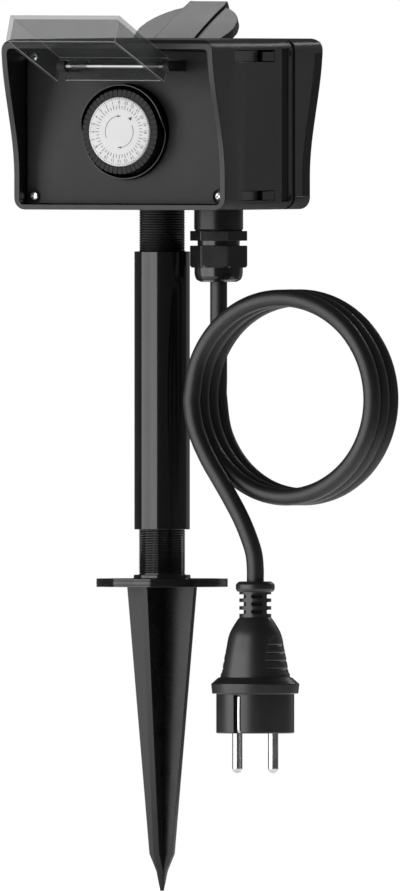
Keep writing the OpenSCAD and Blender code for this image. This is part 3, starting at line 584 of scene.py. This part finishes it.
def make_spike():
    """Flange with two thin grooves in its edge, stop collar, stub, and four fins that taper to the tip."""
    edge = [(30.8, 0, 0.25), (30.8, 0.85, 0.05), (30.55, 1.0, 0.05), (30.8, 1.15, 0.05),
            (30.8, 2.75, 0.05), (30.55, 2.9, 0.05), (30.8, 3.05, 0.05), (30.8, 3.9, 0.25)]
    collar = [(13.4, 3.9, 0.5), (13.2, 5.7, 0.4), (STUB_R, 5.7, 0.3), (STUB_R, 6.2, 0), (0, 6.2)]
    flange = turned("flange", rounded([(0, 0)] + edge + collar), sides=128)
    rings = []
    for z, half in ((SPIKE_TOP, 17.9), (-30, 15.05), (-60, 12.25), (-92, 9.2), (-125, 6.1), (-133.3, 2.4),
                    (SPIKE_TIP, 0.9)):
        t = 1.6 if half > 2.4 else half * 0.62
        quarter = [(half, -t), (half, t), (t, t)]
        ring = []
        for k in range(4):
            ring += quarter
            quarter = [(-y, x) for x, y in quarter]
        rings.append([(x, y, z) for x, y in ring])
    fins = softened(lofted("fins", rings), 0.4, lambda p: 1 if p.z < -0.5 else 0)
    stub = shaded(threaded("stub", 5.9, 29.4))
    spike = joined("spike", [shaded(flange), fins, stub])
    spike.data.materials.append(spike_plastic)
    spike.data.materials.append(tube_plastic)
    for face in spike.data.polygons:
        face.material_index = 1 if face.center.z > -0.1 * MM else 0
    put(spike, "spike", ("ground_spike",))


def make_tube():
    """Extension tube with ten rings of thread in the bore at each end."""
    low, high, bore, rings = 26.9, 157.2, 11.1, range(10)
    inner = []
    for k in rings:
        inner += [(bore, high - THREAD_PITCH * k), (bore + THREAD_DEEP, high - THREAD_PITCH * (k + 0.5))]
    inner += [(bore, high - 12), (bore, low + 12)]
    for k in reversed(rings):
        inner += [(bore + THREAD_DEEP, low + THREAD_PITCH * (k + 0.5)), (bore, low + THREAD_PITCH * k)]
    outer = rounded([(12.2, low), (13, low, 0.5), (13, high, 0.5), (12.2, high)])
    tube = turned("tube", outer + inner, sides=128, closed=True)
    put(shaded(tube), "tube", ("extension_tube",), tube_plastic)


# Head

def side_recess(s):
    """Stock for the shallow step in a side wall, which runs out towards the front."""
    rings = []
    stations = [(-34, 0), (-20, 0)] + [(19.8 + 4 * math.sin(a), 4 - 4 * math.cos(a))
                                       for a in (k * math.pi / 12 for k in range(7))]
    for y, inset in stations:
        x = s * (HEAD_HALF + 0.15 - 0.75 * min(1, (y + 34) / 14))
        low, high = 180 + inset, 252.8 - inset
        rings.append([(x, y, low), (x, y, high), (s * 58, y, high), (s * 58, y, low)])
    return lofted("recess", rings)


def rim_y(z):
    """How far the curved rim of a hood stands from the middle plane at a height."""
    t = max(0, min(1, (z - 192.8) / 62))
    return 42.5 + 12.9 * t * t * (3 - 2 * t)


def rear_flare(s):
    """Stock for the wall of the rear hood, which turns outwards again towards its rim."""
    rings = []
    for k in range(25):
        z = 183 + 67 * k / 24
        rim = rim_y(z)
        rings.append([(s * x, y, z) for x, y in ((57, 27.8), (55.4, 27.8), (55.4, rim - 6.8),
                                                 (54.9, rim - 6.3), (56, rim - 0.6), (57, rim - 0.6))])
    return lofted("flare", rings)


def rim_chamfer(way):
    """Stock along the upper outer edge of a rim; way is -1 at the front."""
    return lofted("chamfer", [[(x, way * y, z) for y, z in ((56.4, 254.2), (57.5, 258.6), (52.8, 257.8))]
                              for x in (-60, 60)])


def head_ring(y, inset):
    """The head's outline, this far inside its surface, as a ring round the Y axis."""
    right, low, top = HEAD_HALF - CORNER_R, HEAD_LOW + CORNER_R, HEAD_TOP - CORNER_R
    ring = []
    for x, z, start in ((right, top, 0), (-right, top, 90), (-right, low, 180), (right, low, 270)):
        for k in range(9):
            a = math.radians(start + 90 * k / 8)
            ring.append((x + (CORNER_R - inset) * math.cos(a), y, z + (CORNER_R - inset) * math.sin(a)))
    return ring


def groove_bridge():
    """The part of the front shell that closes the seal's groove above and below the side walls."""
    bridge = lofted("bridge", [head_ring(15.3, 0.03), head_ring(21.8, 0.03)])
    carved(bridge, lofted("hollow", [head_ring(14, 0.95), head_ring(23, 0.95)]))
    carved(bridge, block("sides", (-58, 14, 180.6), (58, 23, 252.2)))
    for s in (-1, 1):
        carved(bridge, side_recess(s))
    return shaded(bridge)


def shell_share(p):
    """How much of a shell's rounding an edge gets: most on the gland's boss, none inside the shell."""
    if abs(p.y) > 41:
        return 0.5
    if p.z < 176.6:
        return 1 if p.x > 16 and p.z < 170 else 0
    return 0.4 if abs(p.x) > 53.5 or p.z > 255 or p.z < 178.5 else 0


def make_shells():
    """The two halves of the head, each with its hood, cut from the solids' own shapes."""
    for node in ("front_shell", "rear_shell"):
        shell = merged_copy(node)
        for s in (-1, 1):
            carved(shell, side_recess(s))
            if node == "rear_shell":
                carved(shell, rear_flare(s))
        carved(shell, rim_chamfer(1 if node == "rear_shell" else -1))
        finished = [softened(shell, 0.5, shell_share, segments=3)]
        if node == "front_shell":
            finished.append(groove_bridge())
        put(joined(node + "_finished", finished), "head", (node,), polypropylene)


def make_panels():
    """The two panels and the outlets' inserts, with their edges rounded."""
    for node in ("timer_panel", "socket_panel"):
        put(softened(merged_copy(node), 0.35), "head", (node,), panel_plastic)
    for node in ("socket_insert_left", "socket_insert_right"):
        put(softened(merged_copy(node), 0.3), "head", (node,), polypropylene)


def make_housing():
    """The timer's case, whose collar is higher above than below, with a soft step between the two."""
    outside, inside, step = 22.35, 21.65, 3.4

    def rim(r, a, z):
        t = max(0, min(1, (math.sin(a) + 0.12) / 0.5))
        return r, (z - step * (1 - t * t * (3 - 2 * t)) if z > 40 else z)

    case = rounded([(0, 8.5), (outside, 8.5, 0.8), (outside, 31, 0), (24.45, 31, 0.3), (24.45, 33, 0.3),
                    (outside, 33, 0), (outside, 41.5, 0.2), (inside, 41.5, 0.15), (inside, 32, 0),
                    (20.85, 32, 0), (20.85, 10, 0.3), (0, 10)])
    housing = about_y(turned("timer_housing_finished", case, sides=144, shape=rim), 0, TIMER_Z)
    shaded(housing).data.materials.append(polypropylene)
    housing.data.materials.append(collar_painted_shade)
    # Only the collar's front faces keep the moulded plastic; its walls and sides get the darker copy without
    # highlights, as painted shade
    for face in housing.data.polygons:
        face.material_index = 0 if face.normal.y < -0.6 and face.center.y < -37.5 * MM else 1
    put(housing, "head", ("timer_housing",))


def panel_screw(way):
    """Pan head screw with a cross recess, on the Y axis; way is -1 where it faces the front."""
    profile = rounded([(0, 35.95), (1.2, 35.9), (2.1, 35.6), (2.45, 34.9, 0.2), (2.45, 34.3, 0.1),
                       (1.5, 34.3, 0), (1.5, 24.3, 0.2), (0, 24.3)])
    head = turned("screw", profile, sides=48)
    for wide, long in ((0.5, 1.5), (1.5, 0.5)):
        carved(head, block("recess", (-wide, -long, 35.0), (wide, long, 37)))
    head.data.transform(Matrix.Rotation(way * -math.pi / 2, 4, "X"))
    return shaded(head)


def make_screws():
    """Four screws in the corners of each panel."""
    wide, high, middle_z = 98.6, 65.4, 215.9
    for name, way in (("timer_panel_screws", -1), ("socket_panel_screws", 1)):
        screws = in_a_grid(name + "_finished", panel_screw(way), wide, high, middle_z, zinc_steel)
        put(screws, "head", (name,))


# Timer

def flat_print(name, outline):
    """A printed patch on the dial from an outline in X and Z round the dial's middle."""
    rings = [[(x, y, z + TIMER_Z) for x, z in outline] for y in (DIAL_Y - 0.06, DIAL_Y + 0.01)]
    return lofted(name, rings)


def on_dial(r, degrees):
    """Point on the dial at a radius and an angle clockwise from the top."""
    a = math.radians(degrees)
    return r * math.sin(a), r * math.cos(a)


def dial_number(value, r, degrees, high):
    """An hour's number, with its foot towards the dial's middle."""
    data = bpy.data.curves.new("number", "FONT")
    data.body = str(value)
    data.size = high / 0.7 * MM
    data.align_x, data.align_y = "CENTER", "CENTER"
    data.extrude = 0.03 * MM
    data.resolution_u = 3
    letters = new_object("number", data)
    graph = bpy.context.evaluated_depsgraph_get()
    mesh = bpy.data.meshes.new_from_object(letters.evaluated_get(graph), depsgraph=graph)
    bpy.data.objects.remove(letters)
    x, z = on_dial(r, degrees)
    mesh.transform(Matrix.Translation((x * MM, (DIAL_Y - 0.03) * MM, (z + TIMER_Z) * MM))
                   @ Matrix.Rotation(math.radians(degrees), 4, "Y") @ Matrix.Rotation(math.pi / 2, 4, "X"))
    return new_object("number", mesh)


def make_dial_disc():
    """The white disc, level with the tops of the fingers round it."""
    face = rounded([(0, -DIAL_Y), (15.7, -DIAL_Y, 0.4), (16.25, 42.4, 0.3), (16.25, 41.6, 0), (0, 41.6)])
    face = about_y(turned("dial_disc", face, sides=128), 0, TIMER_Z)
    put(shaded(face), "dial", ("dial_face",), dial_white)


def make_dial_ring():
    """The ring with its 48 fingers, each a little wider at its outer end and its foot."""
    rings = []
    for y, half in ((-42.2, 1.0), (-36.0, 1.08)):
        rings.append([(-half, y, 16.5), (half, y, 16.5), (half * 1.12, y, 19.9), (-half * 1.12, y, 19.9)])
    finger = lofted("finger", rings)
    fingers = around("dial_fingers", softened(finger, 0.3), 48, ring_grey)
    base = rounded([(16.4, 35), (20, 35, 0.3), (20, 37.2, 0.3), (19.75, 37.4, 0.2), (19.75, 41.5, 0.5),
                    (19.2, 41.95, 0.3), (16.4, 41.95, 0.2)], 0, closed=True)
    base = about_y(turned("finger_base", base, sides=128, closed=True), 0, TIMER_Z)
    ring = joined("dial_ring_finished", [fingers, shaded(base)])
    put(ring, "dial", ("dial_ring",), ring_grey)


def make_dial_print():
    """The ticks, the numbers of the hours and the two arrows printed on the disc."""
    marks = []
    # Each set lies a hair above the one before it, so that crossing marks don't share a face
    for k, (count, half, low, high) in enumerate(((48, 0.12, 10.7, 12.1), (24, 0.13, 12.0, 12.7),
                                                  (96, 0.07, 15.0, 15.6), (24, 0.16, 15.2, 15.7))):
        tick = flat_print("tick", [(-half, low), (half, low), (half, high), (-half, high)])
        tick.data.transform(Matrix.Translation((0, -0.01 * k * MM, -TIMER_Z * MM)))
        marks.append(around("ticks", tick, count, dial_ink))
    for hour in range(24):
        marks.append(dial_number(hour, 13.85, -15 * hour, 1.4))
    for start, stop, tip in ((247, 352, 368), (65, 172, 188)):
        turns = [start + (stop - start) * k / 24 for k in range(25)]
        shaft = [on_dial(7.5, a) for a in turns] + [on_dial(7.28, a) for a in reversed(turns)]
        marks.append(flat_print("shaft", shaft))
        marks.append(flat_print("head", [on_dial(7.9, stop), on_dial(7.4, tip), on_dial(6.9, stop)]))
    marks.append(flat_print("pointer", [on_dial(7.9, 36), on_dial(9.8, 44), on_dial(8.1, 50)]))
    put(joined("dial_print", marks), "dial", (), dial_ink)


def make_lid():
    """The clear lid, shaped as if closed; its flats let more light through than its edges, which carry a
    painted highlight.
    """
    draft, deep, front = 1.2, 50.5, -3.5
    lid = merged_copy("timer_lid")
    opened = (Matrix.Translation((LID_X * MM, -LID_HINGE_Y * MM, HINGE_Z * MM))
              @ Matrix.Rotation(math.radians(-LID_OPEN), 4, "X"))
    lid.data.transform(opened.inverted())
    for vert in lid.data.vertices:
        # Its front stands further out at the free end, as a mould's draft leaves it
        if vert.co.y < front * MM:
            vert.co.y -= draft * MM * max(0, -vert.co.z / (deep * MM))
    lid.data.transform(opened)
    lid = softened(lid, 0.2)
    lid.data.materials.clear()
    lid.data.materials.append(polycarbonate)
    lid.data.materials.append(polycarbonate_edge_painted_highlight)
    upright = Matrix.Rotation(math.radians(LID_OPEN), 3, "X")
    # Flats and the faces at the hinge stay clear; the rounded edges get the painted highlight material
    for face in lid.data.polygons:
        normal = upright @ face.normal
        from_hinge = math.hypot(face.center.y / MM + LID_HINGE_Y, face.center.z / MM - HINGE_Z)
        face.material_index = 0 if from_hinge < 2.7 or max(abs(c) for c in normal) > 0.995 else 1
    put(lid, "timer_lid", ("timer_lid",))


# Flaps

def domed(piece, hinge_x, tilt, rise):
    """The flap with its outer face raised towards the middle; it is worked on as if closed."""
    outer_face, dome_r = 3.4, 27
    place = (Matrix.Translation((hinge_x * MM, FLAP_Y * MM, HINGE_Z * MM))
             @ Matrix.Rotation(math.radians(tilt), 4, "X"))
    work = bmesh.new()
    work.from_mesh(piece.data)
    work.transform(place.inverted())
    sliced(work, range(-26, 27, 2), range(-54, 0, 2))
    for vert in work.verts:
        x, y, z = vert.co / MM
        if y > outer_face:
            vert.co.y += rise * MM * max(0, 1 - (x * x + (z + FLAP_REACH) ** 2) / dome_r ** 2)
    work.transform(place)
    work.to_mesh(piece.data)
    work.free()
    return piece


def make_flaps():
    """The two flaps, the left one open, which the flaps' own soft light reaches."""
    for side, x, tilt in (("left", -OUTLET_X, FLAP_OPEN), ("right", OUTLET_X, 0)):
        flap = softened(domed(merged_copy("flap_" + side), x, tilt, 1.0), 0.5, segments=3)
        put(flap, side + "_flap", ("flap_" + side,), polypropylene)
        bpy.data.collections["lit_by_flap_softbox"].objects.link(flap)


# Gland

def hex_turned(name, profile, low, high):
    """A turned piece on the gland's axis that is a hexagon between low and high."""
    flats = 23.6

    def cut(r, a, z):
        if not low <= z <= high:
            return r, z
        off = (a % (math.pi / 3)) - math.pi / 6
        return min(r, flats / 2 / math.cos(off)), z

    piece = turned(name, profile, sides=144, closed=True, shape=cut)
    piece.data.transform(Matrix.Translation((GLAND_X * MM, 0, 0))
                         @ Matrix.Rotation(math.radians(HEX_TURN), 4, "Z"))
    return shaded(piece, 24)


def make_gland():
    """The dome nut, whose flats end in a chamfer, and the body above it."""
    nut = rounded([(4.55, 143.2), (8.4, 143, 1.2), (10.4, 144, 1.6), (11.1, 145.6, 1.2), (11.35, 147.4, 1),
                   (11.35, 149.7, 0), (12.7, 149.7, 0.1), (13.6, 150.5, 0.3), (13.6, 159.7, 0.2),
                   (13.3, 160, 0.2), (9, 160, 0.2), (9, 148, 0.2), (4.55, 148, 0.3)], 0, closed=True)
    nut = hex_turned("gland_nut_finished", nut, 149.6, 161)
    put(nut, "head", ("gland_nut",), gland_nylon)
    body = softened(merged_copy("gland_body"), 0.25, segments=3)
    put(body, "head", ("gland_body",), gland_nylon)


# Plug

def grip(r, a, z):
    """Presses an arched finger rest with four grooves into both sides of the plug's body."""
    foot, tall, half_wide = -40.3, 18.8, 12
    rise = (z - foot) / tall
    if not 0 <= rise <= 1:
        return r, z
    for middle in (0, math.pi):
        off = (a - middle + math.pi) % (2 * math.pi) - math.pi
        across = abs(off) * r / half_wide
        inside = 1 - across ** 2 - rise ** 2.4
        if inside <= 0:
            continue
        nearest = min(abs(z - at) for at in (-26.9, -30.6, -34.3, -38))
        groove = max(0, 1 - nearest / 0.55) * min(1, inside / 0.16)
        return r - min(1, rise * 30) * (0.35 * min(1, inside / 0.14) + 0.42 * groove), z
    return r, z


def curve_through(points, steps):
    """A smooth line through points of a profile."""
    out = []
    for k in range(len(points) - 1):
        p0, p1, p2, p3 = (Vector(points[max(0, min(len(points) - 1, k + d))]) for d in (-1, 0, 1, 2))
        for s in range(steps):
            t = s / steps
            out.append(tuple(0.5 * (2 * p1 + (p2 - p0) * t + (2 * p0 - 5 * p1 + 4 * p2 - p3) * t * t
                                    + (3 * p1 - p0 - 3 * p2 + p3) * t ** 3)))
    return out + [tuple(points[-1])]


def make_plug_body():
    """The body with its finger rests, rim and round face, slotted at both sides for the earth contacts."""
    flank = curve_through([(7.4, -13.9), (9, -16), (11.8, -20.9), (13.3, -26), (14.4, -30.6), (15.5, -36.6),
                           (16.4, -42)], 28)
    rim = rounded([(16.4, -42), (17.3, -42.1, 0.4), (20.7, -45.1, 0.6), (20.2, -49.7, 0.5),
                   (18.3, -49.7, 0.3), (18.3, -68.3, 0.7), (0, -68.3)])
    body = turned("plug_body_finished", [(0, -13.9)] + flank + rim[1:], (PLUG_X, PLUG_Y), 192, shape=grip)
    half = 1.95
    for s in (-1, 1):
        low_y, high_y = sorted((PLUG_Y + s * 15.7, PLUG_Y + s * 22))
        carved(body, block("clip_slot", (PLUG_X - half, low_y, -70), (PLUG_X + half, high_y, -50.2)))
    put(shaded(body, 30), "head", ("plug_body",), soft_pvc)


def make_plug_boot():
    """The boot that keeps the cord from kinking, with three rows of slots on four sides."""
    profile = rounded([(0, 2.9), (4.05, 2.9, 0), (7.7, 2.9, 1.6), (9.15, 1.5, 1.2), (9.15, -0.6, 1.2),
                       (8.4, -1.9, 0.6), (7.5, -1.9, 0.3), (7.5, -13.9, 0), (0, -13.9)])
    boot = turned("plug_boot_finished", profile, (PLUG_X, PLUG_Y), 96)
    end_r, first_turn = 0.95, -56
    cutters = []
    for z in (-4.1, -7.7, -11.3):
        for k in range(4):
            middle = (6 if k % 2 else 2.8) - end_r
            angles = [math.pi / 8 * (j - 4) for j in range(9)]
            ends = [(middle + end_r * math.cos(a), end_r * math.sin(a)) for a in angles]
            outline = ends + [(-across, -up) for across, up in ends]
            slot = lofted("slot", [[(r, across, up) for across, up in outline] for r in (4.9, 9.2)])
            slot.data.transform(Matrix.Translation((PLUG_X * MM, PLUG_Y * MM, z * MM))
                                @ Matrix.Rotation(math.radians(first_turn + 90 * k), 4, "Z"))
            cutters.append(slot)
    carved(boot, joined("slots", cutters))
    put(shaded(boot), "head", ("plug_boot",), soft_pvc)


def make_plug_metal():
    """The two round-ended pins and the earth contacts at both sides of the face."""
    tip_z, half, flat, back = -84.7, 0.85, 0.5, 15.7
    angles = [k * math.pi / 16 for k in range(9)]
    tip = [(PIN_R * math.sin(a), tip_z - PIN_R * math.cos(a)) for a in angles]
    profile = tip + [(PIN_R, -68), (2.1, -67.6), (2.1, -60.3), (0, -60.3)]
    pins, clips = [], []
    for s in (-1, 1):
        pins.append(turned("pin", profile, (PLUG_X + s * PIN_FROM_MIDDLE, PLUG_Y), 48))
        rings = []
        for z, out in ((-67.9, 16.3), (-66.5, 16.9), (-58, 17.0), (-51, 16.8)):
            outline = ((-half, out - 0.4), (-flat, out), (flat, out), (half, out - 0.4), (half, back),
                       (-half, back))
            rings.append([(PLUG_X + x, PLUG_Y + s * y, z) for x, y in outline])
        clips.append(softened(lofted("clip", rings), 0.15))
    put(shaded(joined("plug_pins_finished", pins)), "head", ("plug_pins",), nickel)
    put(joined("plug_earth_clips_finished", clips), "head", ("plug_earth_clips",), nickel)


# CAD nodes whose shape is right as it is

def paint_nodes():
    """The materials of the CAD nodes that are used as they are."""
    painted = {
        seal_rubber: ("parting_seal", "flap_seal_left", "flap_seal_right", "gland_oring", "gland_seal"),
        cord_jacket: ("cord_tail",),
        rod_steel: ("lid_hinge_rod",),
        black_steel: ("gear_plate",),
        zinc_steel: ("flap_hinge_pins", "terminal_screws", "timer_motor"),
        brass: ("contact_sleeves", "earth_clips", "live_busbar", "neutral_busbar", "earth_bar",
                "motor_pinion"),
        black_acetal: ("dial_gear",),
        acetal: ("idler_gear", "terminal_block", "switch_plunger"),
        gland_nylon: ("gland_locknut", "gland_clamp"),
        switch_red: ("micro_switch",),
        brown_jacket: ("live_wires",),
        blue_jacket: ("neutral_wires",),
        green_jacket: ("earth_wires",),
    }
    for material, nodes in painted.items():
        for node in nodes:
            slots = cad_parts[node].data.materials
            slots.clear()
            slots.append(material)


cord, cord_length = make_cord()
make_lights()
make_background()
make_floor()
make_spike()
make_tube()
make_shells()
make_panels()
make_housing()
make_screws()
make_dial_disc()
make_dial_ring()
make_dial_print()
make_lid()
make_flaps()
make_gland()
make_plug_body()
make_plug_boot()
make_plug_metal()
paint_nodes()
